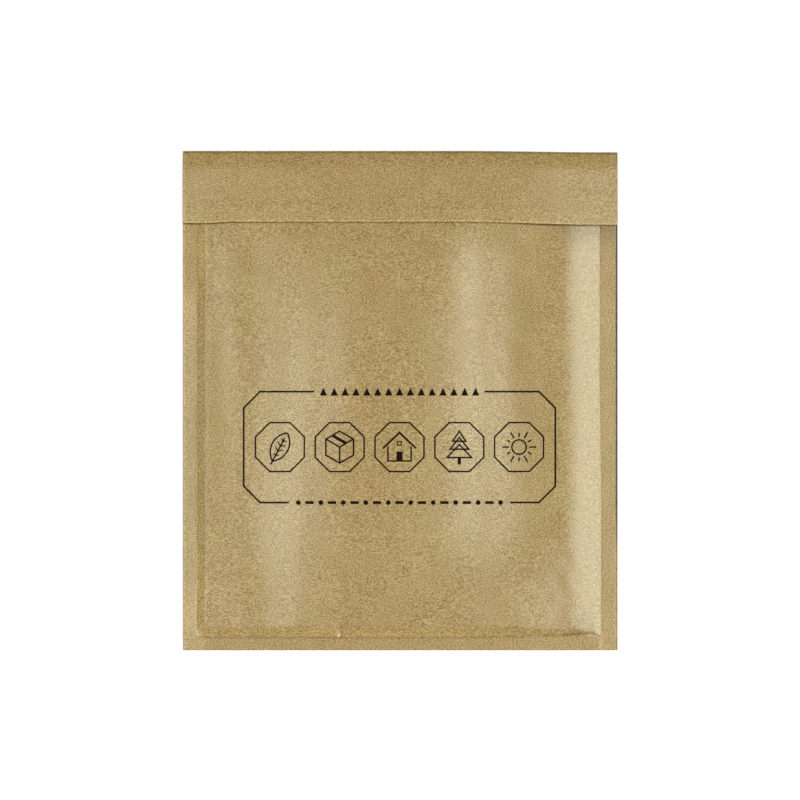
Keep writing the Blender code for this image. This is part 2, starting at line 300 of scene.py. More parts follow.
def smooth(value):
    """0 to 1 with a level start and end."""
    value = share(value)
    return value * value * (3 - 2 * value)


def ramp(value, start, length):
    """0 up to start, then smoothly to 1 over this length."""
    return smooth((value - start) / length)


def near(distance, reach):
    """1 at no distance, smoothly down to 0 at reach."""
    return smooth(1 - abs(distance) / reach)


def wander(seed, scale, y):
    """Noise along the envelope, about -0.5 to 0.5."""
    return noise.noise(Vector((seed, scale * y, 0)))


def roll(distance, width, power=ROLL_POWER):
    """How much of its height the padding has, this far in from an edge."""
    return 1 - (1 - share(distance / width)) ** power


def between(start, end, part):
    """start where part is 0, end where it is 1."""
    return start + (end - start) * part


def left_line(y):
    """The left crease, which wanders a little."""
    return LEFT_LINE + CREASE_WANDER * wander(LEFT_SEED, WANDER_SCALE, y)


def right_line(y):
    """The right crease, which runs outwards a little towards the bottom."""
    drift = between(*RIGHT_DRIFT, ramp(-y, 0, RIGHT_DRIFT_LENGTH))
    return RIGHT_LINE + drift + RIGHT_WANDER * wander(RIGHT_SEED, WANDER_SCALE, y)


def left_ends(y):
    """How strongly the left roll gets its painted highlight, towards the flap and towards
    the bottom.
    """
    return max(ramp(y, *ROLL_TOP_END), ramp(-y, *ROLL_BOTTOM_END))


def front_padding(x, y):
    """How much of its full height the front's padding has here."""
    right = roll(right_line(y) - x, RIGHT_ROLL, RIGHT_POWER)
    across = roll(x - left_line(y), LEFT_ROLL, LEFT_POWER) * right
    taper = between(1, MOUTH_SHARE, smooth(1 - (MOUTH - y) / MOUTH_TAPER))
    return across * roll(y - BOTTOM_LINE, BOTTOM_ROLL) * taper


def back_padding(x, y):
    """How much of its full depth the back has here."""
    across = roll(x - LEFT_LINE, BACK_ROLL) * roll(RIGHT_LINE - x, BACK_ROLL)
    return across * roll(y - BOTTOM_LINE, BACK_ROLL)


@functools.cache
def ridge_points(up):
    """The ridges' (place, height) at this share of the envelope's height."""
    pairs = [pair for pair in zip(STATIONS, STATIONS[1:]) if up < pair[1].up]
    low, high = pairs[0] if pairs else STATIONS[-2:]
    part = share((up - low.up) / (high.up - low.up))
    return [
        (between(a[0], b[0], part), between(a[1], b[1], part))
        for a, b in zip(low.ridges, high.ridges)
    ]


@functools.cache
def ridge_slopes(up):
    """The slope at each of those points, level on crests, in hollows and at both ends."""
    points = ridge_points(up)
    rises = [(b[1] - a[1]) / (b[0] - a[0]) for a, b in zip(points, points[1:])]
    inner = [2 * a * b / (a + b) if a * b > 0 else 0 for a, b in zip(rises, rises[1:])]
    return [0, *inner, 0]


def ridge_fade(y):
    """The flap presses the ridges flat."""
    return smooth((FLAP_EDGE + RIDGE_END - y) / RIDGE_FADE)


def ridge_height(x, y):
    """The ridges' own height, as a smooth curve through this place's points."""
    across = (x - LEFT_LINE) / (RIGHT_LINE - LEFT_LINE)
    up = (y - BOTTOM) / ENVELOPE_HEIGHT
    points = ridge_points(up)
    slopes = ridge_slopes(up)
    for i in range(len(points) - 1):
        (start, low), (end, high) = points[i : i + 2]
        if across < end:
            part = share((across - start) / (end - start))
            lean = (1 - part) * slopes[i] - part * slopes[i + 1]
            bow = (end - start) * part * (1 - part) * lean
            return between(low, high, smooth(part)) + bow
    return points[-1][1]


def ridges(x, y):
    """How much the ridges add to the front's height."""
    return ridge_height(x, y) * ridge_fade(y) * front_padding(x, y)


def ridge_allowance(y):
    """How much the tallest ridge lifts the flap here."""
    points = ridge_points((y - BOTTOM) / ENVELOPE_HEIGHT)
    return ridge_fade(y) * max(height for _, height in points)


def bubble_relief(x, y):
    """The lining's bubbles, pressed faintly through the paper."""
    wave = 2 * math.pi / (BUBBLE_PITCH * math.sqrt(3) / 2)
    pattern = sum(
        math.cos(wave * (x * math.cos(turn) + y * math.sin(turn)))
        for turn in (math.pi / 2, math.pi / 6, -math.pi / 6)
    )
    height = BUBBLE_RELIEF
    for (zone_x, zone_y), radius, added in BUBBLE_ZONES:
        height += added * smooth(1 - math.hypot(x - zone_x, y - zone_y) / radius)
    return height * pattern / 3


def cockle(x, y):
    """Random unevenness of the sheet: broad upright waves and small dimples."""
    place = Vector((x, y, 0))
    broad = noise.noise(place * WAVE_SCALE)
    fine = noise.noise(place * COCKLE_SCALE + COCKLE_SHIFT)
    return WAVE_HEIGHT * broad + COCKLE_HEIGHT * fine


def puckers(x, y):
    """1 on the crest of a pucker at the crease, and 0 beside or above it."""
    up = y - BOTTOM_LINE
    return sum(
        math.exp(-(((x - at) / width) ** 2)) * smooth(1 - up / length)
        for at, width, length in PUCKERS
        if up > 0
    )


def seam_tone(y):
    """How much lighter or darker the left seam is here, about 0."""
    return wander(TONE_SEED, TONE_SCALE, y)


def crease(distance):
    """1 on a fold line, down to 0 a little way off it."""
    return math.exp(-((distance / CREASE_WIDTH) ** 2))


def flap_shadow(x, y):
    """The painted shadow line just below the flap's free edge, and the painted shade at
    its right end.
    """
    below = skewed(x, FLAP_EDGE) - y
    strength = SHADOW_STRENGTH
    strength += SHADOW_ADDED * ramp(abs(x - SHADOW_CENTRE), *SHADOW_ENDS)
    strength -= SHADOW_CORNER_LOSS * ramp(x, *SHADOW_CORNER)
    width = SHADOW_WIDTH + SHADOW_ADDED_WIDTH * ramp(x, *SHADOW_WIDER)
    line = strength * near(below - SHADOW_OFFSET, width)
    shade = SHADE_STRENGTH * ramp(x, *SHADE_RIGHT) * near(below, SHADE_LENGTH)
    return max(line, shade) if below > 0 else line


def side_shadow(x, y):
    """The painted shadow line along the right seam's crushed edge, fading out towards the
    bottom.
    """
    if y > FLAP_EDGE:
        return 0
    edge = share(1 - (RIGHT - x) / SIDE_WIDTH)
    return SIDE_STRENGTH * edge * ramp(y, *SIDE_FADE)


def inside_distance(x, y):
    """How far inside the creases a place is, and 0 outside them."""
    return max(min(x - left_line(y), right_line(y) - x, y - BOTTOM_LINE), 0.0)


def bottom_line(x):
    """The bottom crease's drawn line, which rises towards the right and hooks down."""
    rise = share((x - CREASE_RISE_FROM) / CREASE_RISE_LENGTH) ** CREASE_RISE_POWER
    return BOTTOM_LINE + CREASE_RISE * (rise - HOOK_SHARE * ramp(x, *HOOK))


def painted_hollow_shade(x, y):
    """Painted shade in the soft hollow above the bottom crease's right end."""
    above = y - bottom_line(x)
    if above < 0:
        return 0
    across = ramp(x, *HOLLOW_START) * smooth((HOLLOW_END - x) / HOLLOW_END_FADE)
    return HOLLOW_STRENGTH * across * near(above, HOLLOW_LENGTH)


def crease_shade_and_tone(x, y):
    """How strongly painted shade darkens the front along its fold lines, past the left
    roll and beside the puckers, with the left seam's random darker tone; the grooves'
    depth follows it too.
    """
    past = x - left_line(y)
    depth = between(BOTTOM_CREASE_SHADE, 1, ramp(x, *BOTTOM_CREASE_SHADE_END))
    inside = past > 0 and x < right_line(y)
    # Painted shade along the bottom, left and right creases
    bottom = depth * crease(y - bottom_line(x)) if inside else 0
    left = LEFT_CREASE_SHADE * crease(past) * ramp(y, *LEFT_CREASE_SHADE_FADE)
    # Painted shade just past the top of the left roll, weaker where its painted highlight
    # is
    roll_shade = ROLL_END_SHADE * near(past - LEFT_ROLL - ROLL_SHADE_OFFSET, ROLL_SHADE_WIDTH) * (1 - left_ends(y))
    right = RIGHT_CREASE_SHADE * crease(x - right_line(y))
    # Painted shade in the hollow beside each pucker
    fold = PUCKER_SHADE * puckers(x - PUCKER_SHADE_ASIDE, y)
    seam = SEAM_DARK * max(-seam_tone(y), 0) if past < 0 else 0
    return share(bottom + left + roll_shade + right + fold + seam)


def edge_drop(x, y):
    """How far the two glued seams turn down towards their outer edges."""
    crushed = CRUSH_DROP * share((x - RIGHT + CRUSH_WIDTH) / CRUSH_WIDTH) ** 2
    wave = between(-LEFT_LIFT, LEFT_DROOP, ramp(FLAP_EDGE - y, *DROOP))
    return crushed + wave * share((left_line(y) - x) / LEFT_SEAM)


def front_middle(x, y):
    """Height of the front ply's middle surface."""
    inside = inside_distance(x, y)
    padded = FRONT_RISE * front_padding(x, y) + ridges(x, y)
    relief = (cockle(x, y) + bubble_relief(x, y)) * smooth(inside / RELIEF_FADE)
    slit = SLIT / 2 * smooth(inside / SLIT_FADE)
    detail = relief + PUCKER_HEIGHT * puckers(x, y)
    detail -= CREASE_DEPTH * crease_shade_and_tone(x, y) + edge_drop(x, y)
    return SEAM_HEIGHT + PLY_GAP + PAPER / 2 + slit + padded + detail


def back_middle(x, y):
    """Height of the back ply's middle surface."""
    inside = inside_distance(x, y)
    slit = SLIT / 2 * smooth(inside / SLIT_FADE)
    fall = BACK_DROP * back_padding(x, y)
    return SEAM_HEIGHT - PLY_GAP - PAPER / 2 - slit - fall - edge_drop(x, y)


def flap_middle(x, y):
    """Height of the flap's middle surface."""
    dip = smooth((y - FLAP_EDGE) / RELEASE_EDGE_MARGIN)
    gap = between(FLAP_EDGE_GAP, CLOSURE_STACK, dip) + ridge_allowance(y)
    body = SEAM_HEIGHT + PAPER + SLIT / 2 + FRONT_RISE + gap
    body -= FLAP_LEAN * ramp(x, LEAN_START, RIGHT - LEAN_START)
    fold = SEAM_HEIGHT + TOP_FOLD_RADIUS
    under = between(fold, body, roll(FOLD_CENTRE - y, FLAP_TOP_ROLL))
    calm = smooth((FOLD_CENTRE - y) / FLAP_TOP_ROLL)
    uneven = FLAP_COCKLE * cockle(x, y + FLAP_COCKLE_SHIFT) * calm
    return under + PAPER / 2 + uneven


def skewed(x, y):
    """y, moved a little where the flap and the top fold run off square."""
    right = ramp(x, *SKEW_RIGHT)
    left = ramp(-x, *SKEW_LEFT)
    down = smooth((TOP - y) / FLAP_LENGTH)
    return y - right * max(TOP_SKEW, FLAP_SKEW * down) - left * CORNER_DROP * down


def places(features, fine=FINE_STEP, wide=WIDE_STEP):
    """Places from the first to the last feature, closer together near each of them."""
    found = [features[0]]
    for start, end in zip(features, features[1:]):
        at = np.linspace(start, end, STEP_SAMPLES + 1)
        apart = np.minimum(np.abs(at - start), np.abs(at - end))
        density = 1 / np.minimum(fine + STEP_GROWTH * apart, wide)
        gap = abs(end - start) / STEP_SAMPLES
        total = np.concatenate([[0], np.cumsum((density[1:] + density[:-1]) / 2 * gap)])
        count = max(int(round(total[-1])), 1)
        found += np.interp(np.linspace(0, total[-1], count + 1), total, at)[1:].tolist()
    return found


def half_turn(centre_y, radius, bulge, steps):
    """(y, height above the seam plane) round a fold, from below to above."""
    for step in range(1, steps):
        angle = math.pi * (step / steps - 0.5)
        yield centre_y + bulge * math.cos(angle), radius * math.sin(angle)


Row = namedtuple("Row", "wall place")


def paper_rows():
    """The sheet from the front's free edge round to the flap's. Each row names its wall
    and has a function that gives (y, z) for x."""
    above = FLAP_EDGE + EDGE_ROWS_ABOVE
    below = FLAP_EDGE - EDGE_ROWS_BELOW
    risen = BOTTOM_LINE + CREASE_RISE
    front = places([MOUTH, above], fine=MOUTH_FINE_STEP, wide=MOUTH_WIDE_STEP)
    front += np.linspace(above, below, EDGE_ROWS)[1:].tolist()
    front += places([below, risen], wide=FRONT_ROW_STEP)[1:]
    front += places([risen, BOTTOM_LINE, BOTTOM + PAPER])[1:]
    rows = [Row("front", lambda x, y=y: (y, front_middle(x, y))) for y in front]

    radius = PAPER / 2 + PLY_GAP
    for y, z in half_turn(BOTTOM + PAPER, radius, -PAPER / 2, BOTTOM_TURN_ROWS):
        height = SEAM_HEIGHT - z
        rows.append(Row("fold", lambda x, y=y, z=height: (y, z - edge_drop(x, y))))

    back = places([BOTTOM + PAPER, BOTTOM_LINE], wide=BACK_MARGIN_STEP)
    back += places([BOTTOM_LINE, MOUTH], wide=BACK_STEP)[1:]
    rows += [Row("back", lambda x, y=y: (y, back_middle(x, y))) for y in back]
    for step in range(1, NECK_ROWS + 1):
        rows.append(Row("back", lambda x, part=step / NECK_ROWS: neck(x, part)))

    for y, z in half_turn(FOLD_CENTRE, FOLD_RADIUS, FOLD_RADIUS, TOP_TURN_ROWS):
        height = SEAM_HEIGHT + z
        rows.append(Row("flap", lambda x, y=y, z=height: (skewed(x, y), z)))

    flap = places([FOLD_CENTRE, FLAP_EDGE], wide=FRONT_ROW_STEP)
    rows += [Row("flap", lambda x, y=y: (skewed(x, y), flap_middle(x, y))) for y in flap]
    return rows


def neck(x, part):
    """The back ply between the mouth and the top fold."""
    y = between(MOUTH, FOLD_CENTRE, part)
    low = SEAM_HEIGHT - FOLD_RADIUS
    return skewed(x, y), between(back_middle(x, MOUTH), low, smooth(part))


def grid_mesh(name, points):
    """A mesh from a rectangular table of points."""
    rows, columns, _ = points.shape
    index = np.arange(rows * columns).reshape(rows, columns)
    corners = [index[:-1, :-1], index[1:, :-1], index[1:, 1:], index[:-1, 1:]]
    faces = np.stack(corners, axis=-1).reshape(-1, 4)
    mesh = bpy.data.meshes.new(name)
    mesh.from_pydata(points.reshape(-1, 3).tolist(), [], faces.tolist())
    mesh.shade_smooth()
    return mesh


def add_object(name, mesh, material):
    made = bpy.data.objects.new(name, mesh)
    bpy.context.scene.collection.objects.link(made)
    mesh.materials.append(material)
    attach(made, "root")
    return made


def thicken(made, thickness, offset):
    """Gives a sheet its thickness: to both sides at offset 0, else to one side."""
    modifier = made.modifiers.new("thickness", "SOLIDIFY")
    modifier.thickness = thickness
    modifier.offset = offset
    modifier.use_even_offset = False


def build_paper(material):
    rolled = LEFT_LINE + LEFT_ROLL
    pucker = PUCKERS[0][0]
    creases = [RIGHT_LINE + drift for drift in RIGHT_DRIFT]
    right = [pucker, *creases, RIGHT - CRUSH_WIDTH, RIGHT]
    columns = places([LEFT, LEFT_LINE])
    columns += places([LEFT_LINE, rolled], LEFT_FINE_STEP, LEFT_ROLL_STEP)[1:]
    columns += places([rolled, pucker], LEFT_FINE_STEP)[1:]
    columns += places(right, RIGHT_FINE_STEP)[1:]
    rows = paper_rows()
    table = np.array([[(x, *row.place(x)) for x in columns] for row in rows])
    mesh = grid_mesh("kraft_paper", table)
    add_marks(mesh, table, [row.wall for row in rows])
    made = add_object("kraft_paper", mesh, material)
    thicken(made, PAPER, 0)
    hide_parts("kraft_envelope")
    return made


def painted_shade_and_tone(wall, x, y):
    """How strongly painted shade darkens the paper here: along folds and in hollows, under
    the flap's edge, along the crushed right edge and at the top fold; the left seam's
    random darker tone is in it too.
    """
    if wall == "front":
        marks = (crease_shade_and_tone, painted_hollow_shade, flap_shadow, side_shadow)
        return max(mark(x, y) for mark in marks)
    if wall == "flap":
        # Painted shade along the top fold
        return near(skewed(x, TOP) - y - TOP_SHADE_OFFSET, TOP_SHADE_WIDTH)
    return 0


def front_light_and_tone(x, y):
    """How strongly painted highlights and the left seam's random tone lighten the front
    here, apart from its cut edge.
    """
    # Painted highlight on each pucker's crest
    lightening = [puckers(x, y)]
    past = x - left_line(y)
    above = y - BOTTOM_LINE
    if past < 0:
        lightening.append(SEAM_LIGHT * seam_tone(y))
    elif 0 < past < LEFT_ROLL + ROLL_HIGHLIGHT_PAST:
        # Painted highlight on the left roll
        lightening.append(ROLL_HIGHLIGHT * left_ends(y))
    if past > 0 and above > 0:
        # Painted highlight just above the bottom crease
        lightening.append(FOOT_HIGHLIGHT * near(above, FOOT_HEIGHT))
    if above < CORNER_HIGHLIGHT_TOP:
        # Painted highlight at the bottom crease's right end
        lightening.append(near(x - CORNER_HIGHLIGHT, CORNER_HIGHLIGHT_WIDTH))
    return max(lightening)


def painted_light_and_tone(wall, x, y):
    """How strongly painted highlights lighten the paper here, along its cut and free edges
    and on the front, with the left seam's random lighter tone.
    """
    # Painted highlight a little in from the left cut edge
    lightening = CUT_EDGE_HIGHLIGHT * near(x - LEFT - CUT_HIGHLIGHT_OFFSET, CUT_HIGHLIGHT_WIDTH)
    if wall == "front":
        return max(lightening, front_light_and_tone(x, y))
    if wall == "flap":
        # Painted highlight just inside the flap's free edge
        free = y - skewed(x, FLAP_EDGE)
        return max(lightening, near(free - FREE_HIGHLIGHT_OFFSET, FREE_HIGHLIGHT_WIDTH))
    return lightening


def add_marks(mesh, table, walls):
    """Stores the painted shade and painted highlight marks at every vertex, for the
    paper's material.
    """
    for mark in (painted_shade_and_tone, painted_light_and_tone):
        values = [
            mark(wall, x, y) for wall, row in zip(walls, table) for x, y, _ in row
        ]
        mesh.attributes.new(mark.__name__, "FLOAT", "POINT").data.foreach_set(
            "value", values
        )


# Bubble film

DOME_RADIUS = 0.0047
DOME_HEIGHT = 0.0015
DOME_SEGMENTS = 10
DOME_RINGS = 3
DOME_SQUARENESS = 0.6
DOME_MARGIN = 0.010
WEB_FINE_STEP = 0.0015
WEB_WIDE_STEP = 0.0055
FILM = 0.00006
WELD_WIDTH = 0.003
WELD_FADE = 0.006


def front_inside(x, y):
    """Height of the front ply's inner side, without the fine relief."""
    return SEAM_HEIGHT + SLIT / 2 + FRONT_RISE * front_padding(x, y) + ridges(x, y)


def back_inside(x, y):
    """Height of the back ply's inner side."""
    return SEAM_HEIGHT - SLIT / 2 - BACK_DROP * back_padding(x, y)


def film_web(bm, height_at, up):
    """One wall of the lining: a smooth web with rows of domes on its outer side."""
    left = LEFT_LINE + LINING_INSET
    right = RIGHT_LINE - LINING_INSET
    bottom = BOTTOM_LINE + LINING_INSET
    top = MOUTH - LINING_SETBACK
    xs = places([left, right], WEB_FINE_STEP, WEB_WIDE_STEP)
    ys = places([bottom, top], WEB_FINE_STEP, WEB_WIDE_STEP)
    web = [[bm.verts.new((x, y, height_at(x, y))) for x in xs] for y in ys]
    for lower, upper in zip(web, web[1:]):
        for i in range(len(xs) - 1):
            bm.faces.new((lower[i], lower[i + 1], upper[i + 1], upper[i]))
    row_step = BUBBLE_PITCH * math.sqrt(3) / 2
    y = bottom + DOME_MARGIN
    row = 0
    while y < top - DOME_RADIUS:
        x = left + DOME_MARGIN + (row % 2) * BUBBLE_PITCH / 2
        while x < right - DOME_MARGIN:
            add_dome(bm, x, y, height_at, up)
            x += BUBBLE_PITCH
        y += row_step
        row += 1


def add_dome(bm, x, y, height_at, up):
    """One bubble, on the upper side of a web where up is 1 and below it at -1."""
    rings = []
    for ring in range(DOME_RINGS):
        angle = math.pi / 2 * ring / DOME_RINGS
        radius = DOME_RADIUS * math.cos(angle) ** DOME_SQUARENESS
        rise = up * DOME_HEIGHT * math.sin(angle)
        points = []
        for k in range(DOME_SEGMENTS):
            turn = 2 * math.pi * k / DOME_SEGMENTS
            px = x + radius * math.cos(turn)
            py = y + radius * math.sin(turn)
            points.append(bm.verts.new((px, py, height_at(px, py) + rise)))
        rings.append(points)
    peak = bm.verts.new((x, y, height_at(x, y) + up * DOME_HEIGHT))
    for lower, upper in zip(rings, rings[1:]):
        for k in range(DOME_SEGMENTS):
            n = (k + 1) % DOME_SEGMENTS
            bm.faces.new((lower[k], lower[n], upper[n], upper[k]))
    for k in range(DOME_SEGMENTS):
        bm.faces.new((rings[-1][k], rings[-1][(k + 1) % DOME_SEGMENTS], peak))


def pocket_middle(x, y):
    return (front_inside(x, y) + back_inside(x, y)) / 2


def film_offset(x, y):
    """Half the gap between the two webs, closing at the welds and the bottom fold."""
    part = ramp(inside_distance(x, y), WELD_WIDTH, WELD_FADE)
    return POCKET_GAP / 2 * part + FILM


def build_film(material):
    bm = bmesh.new()
    film_web(bm, lambda x, y: pocket_middle(x, y) + film_offset(x, y), 1)
    film_web(bm, lambda x, y: pocket_middle(x, y) - film_offset(x, y), -1)
    bmesh.ops.recalc_face_normals(bm, faces=bm.faces)
    mesh = bpy.data.meshes.new("bubble_film")
    bm.to_mesh(mesh)
    bm.free()
    mesh.shade_smooth()
    made = add_object("bubble_film", mesh, material)
    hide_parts("bubble_lining")


# Generic front print: a cut-cornered panel with five framed icons

INK_RISE = 0.00005
INK_DEPTH = 0.00007
INK_STEP = 1.1
FILL_STEP = 1.6
MITRE_LIMIT = 0.5
PROBE_HEIGHT = 0.05
PANEL_CENTRE = Vector((-0.4, -25.6))
PANEL_HALF = Vector((86.0, 30.6))
PANEL_CUT = 9.0
FRAME_LINE = 1.0
ICON_LINE = 0.88
FINE_LINE = 0.62
ICON_PITCH = 33.0
ICON_FRAME = 14.6
LEAF_TILT = -28
ROOF_LINE = 1.1
TAPE_START = 0.42
TAPE_END = 0.64
TRIANGLE_PITCH = 6.0
TRIANGLE_DROP = 2.2
DASH_PITCH = 6.2
DOT_RADIUS = 1.35


class Print:
    """Collects flat ink shapes, in millimetres, and lays them on the paper."""

    def __init__(self):
        self.bm = bmesh.new()

    def stroke(self, points, width, closed=False):
        """A line of this width through the points, with mitred corners."""
        points = [Vector(point) for point in points]
        if closed:
            points.append(points[0].copy())
        points = resample(points, INK_STEP)
        count = len(points) - 1 if closed else len(points)
        pairs = []
        for k in range(count):
            start = count - 1 if closed else 0
            before = points[k - 1 if k else start]
            after = points[min(k + 1, len(points) - 1)]
            ahead = (after - points[k]).normalized()
            behind = (points[k] - before).normalized()
            tangent = (ahead + behind).normalized()
            side = Vector((-tangent.y, tangent.x))
            stretch = max(tangent.dot(ahead), tangent.dot(behind))
            side *= width / 2 / max(stretch, MITRE_LIMIT)
            pairs.append([self.vertex(points[k] + side), self.vertex(points[k] - side)])
        if closed:
            pairs.append(pairs[0])
        for (a, b), (c, d) in zip(pairs, pairs[1:]):
            self.bm.faces.new((a, b, d, c))

    def fill(self, points):
        """A solid shape inside the points."""
        points = [Vector(point) for point in points]
        centre = sum(points, Vector((0, 0))) / len(points)
        ring = [self.vertex(p) for p in resample(points + [points[0]], FILL_STEP)[:-1]]
        middle = self.vertex(centre)
        for a, b in zip(ring, ring[1:] + ring[:1]):
            self.bm.faces.new((a, b, middle))

    def vertex(self, point):
        return self.bm.verts.new((point.x * MM, point.y * MM, 0))

    def lay_on(self, paper, material):
        """Drops every vertex onto the paper and gives the ink a little thickness."""
        graph = bpy.context.evaluated_depsgraph_get()
        tree = BVHTree.FromObject(paper, graph)
        for vertex in self.bm.verts:
            start = Vector((vertex.co.x, vertex.co.y, PROBE_HEIGHT))
            hit = tree.ray_cast(start, Vector((0, 0, -1)))[0]
            vertex.co.z = hit.z + INK_RISE
        bmesh.ops.recalc_face_normals(self.bm, faces=self.bm.faces)
        mesh = bpy.data.meshes.new("front_print")
        self.bm.to_mesh(mesh)
        self.bm.free()
        made = add_object("front_print", mesh, material)
        thicken(made, INK_DEPTH, -1)


def resample(points, step):
    """The same line with more points, no further apart than step."""
    found = [points[0]]
    for a, b in zip(points, points[1:]):
        parts = max(int(math.ceil((b - a).length / step)), 1)
        found += [a.lerp(b, k / parts) for k in range(1, parts + 1)]
    return found


def arc(centre, radius, start, end, parts=16):
    """Points along an arc, with its ends in degrees."""
    return [
        Vector(centre)
        + radius
        * Vector((math.cos(math.radians(angle)), math.sin(math.radians(angle))))
        for angle in np.linspace(start, end, parts + 1)
    ]


def ring_points(centre, radius, parts, turn=0.0):
    return arc(centre, radius, turn, turn + 360, parts)[:-1]


def moved(points, centre):
    return [Vector(point) + centre for point in points]


def turned(points, angle):
    """The same points, turned about their own origin by an angle in degrees."""
    turn = math.radians(angle)
    row_x = Vector((math.cos(turn), -math.sin(turn)))
    row_y = Vector((math.sin(turn), math.cos(turn)))
    return [Vector((row_x.dot(Vector(p)), row_y.dot(Vector(p)))) for p in points]


def leaf_icon(ink, centre):
    radius, away, half_angle = 10.6, 5.9, 56.2
    sides = [
        arc((away, 0), radius, 180 - half_angle, 180 + half_angle, 14),
        arc((-away, 0), radius, half_angle, -half_angle, 14),
        [(0, 5.6), (0, -11.0)],
    ]
    for side in sides:
        ink.stroke(moved(turned(side, LEAF_TILT), centre), ICON_LINE)
    for y, reach in ((3.4, 1.7), (0.4, 2.6), (-2.6, 2.5), (-5.4, 1.6)):
        for way in (-1, 1):
            vein = [(0, y), (way * reach, y + 0.75 * reach)]
            ink.stroke(moved(turned(vein, LEAF_TILT), centre), FINE_LINE)


def parcel_icon(ink, centre):
    hexagon = ring_points((0, 0), 8.8, 6, 30)
    ink.stroke(moved(hexagon, centre), ICON_LINE, closed=True)
    for corner in (0, 2, 4):
        ink.stroke(moved([(0, 0), hexagon[corner]], centre), ICON_LINE)
    middle = Vector((0, 0))
    one, two = (
        [hexagon[1].lerp(hexagon[2], part), hexagon[0].lerp(middle, part)]
        for part in (TAPE_START, TAPE_END)
    )
    ink.fill(moved([*one, *reversed(two)], centre))


def house_icon(ink, centre):
    walls = [(-6.4, 0.4), (-6.4, -7.6), (6.4, -7.6), (6.4, 0.4)]
    ink.stroke(moved(walls, centre), ICON_LINE)
    ink.stroke(moved([(-9.2, -0.8), (0, 8.0), (9.2, -0.8)], centre), ROOF_LINE)
    ink.fill(moved([(-1.7, -7.4), (-1.7, -2.4), (1.7, -2.4), (1.7, -7.4)], centre))
    window = ring_points((0, 2.0), 1.5, 4, 45)
    ink.stroke(moved(window, centre), FINE_LINE, closed=True)


def fir_icon(ink, centre):
    for y, half, height in ((3.2, 3.6, 5.6), (-1.2, 5.2, 6.4), (-5.8, 6.8, 7.2)):
        tier = [(-half, y), (half, y), (0, y + height)]
        ink.stroke(moved(tier, centre), ICON_LINE, closed=True)
    ink.fill(moved([(-0.9, -9.6), (-0.9, -6.1), (0.9, -6.1), (0.9, -9.6)], centre))


def sun_icon(ink, centre):
    ink.stroke(moved(ring_points((0, 0), 4.0, 24), centre), ICON_LINE, closed=True)
    for turn in range(0, 360, 30):
        reach = 9.4 if turn % 60 == 0 else 7.8
        ray = [arc((0, 0), radius, turn, turn, 1)[0] for radius in (5.6, reach)]
        ink.stroke(moved(ray, centre), ICON_LINE)


def frame_half(ink, side, top_gap, bottom_gap):
    """One side of the panel's line, between the gap in its top and that in its bottom."""
    half = PANEL_HALF
    path = [
        (side * top_gap, half.y),
        (side * (half.x - PANEL_CUT), half.y),
        (side * half.x, half.y - PANEL_CUT),
        (side * half.x, PANEL_CUT - half.y),
        (side * (half.x - PANEL_CUT), -half.y),
        (side * bottom_gap, -half.y),
    ]
    ink.stroke(moved(path, PANEL_CENTRE), FRAME_LINE)


def build_print(paper, material):
    ink = Print()
    for side in (-1, 1):
        frame_half(ink, side, top_gap=47.0, bottom_gap=61.0)
    for k in range(-7, 8):
        low = PANEL_CENTRE + Vector((k * TRIANGLE_PITCH, PANEL_HALF.y - TRIANGLE_DROP))
        ink.fill(moved([(-2.1, 0), (2.1, 0), (0, 4.4)], low))
    for k in range(-9, 10):
        at = PANEL_CENTRE + Vector((k * DASH_PITCH, -PANEL_HALF.y))
        if k % 2:
            ink.fill(moved(ring_points((0, 0), DOT_RADIUS, 12), at))
        else:
            ink.fill(moved([(-2.3, -0.8), (2.3, -0.8), (2.3, 0.8), (-2.3, 0.8)], at))
    icons = (leaf_icon, parcel_icon, house_icon, fir_icon, sun_icon)
    for k, draw in enumerate(icons):
        centre = PANEL_CENTRE + Vector(((k - 2) * ICON_PITCH, 0))
        frame_line = ring_points((0, 0), ICON_FRAME, 8, 22.5)
        ink.stroke(moved(frame_line, centre), ICON_LINE, closed=True)
        draw(ink, centre)
    ink.lay_on(paper, material)


# Materials


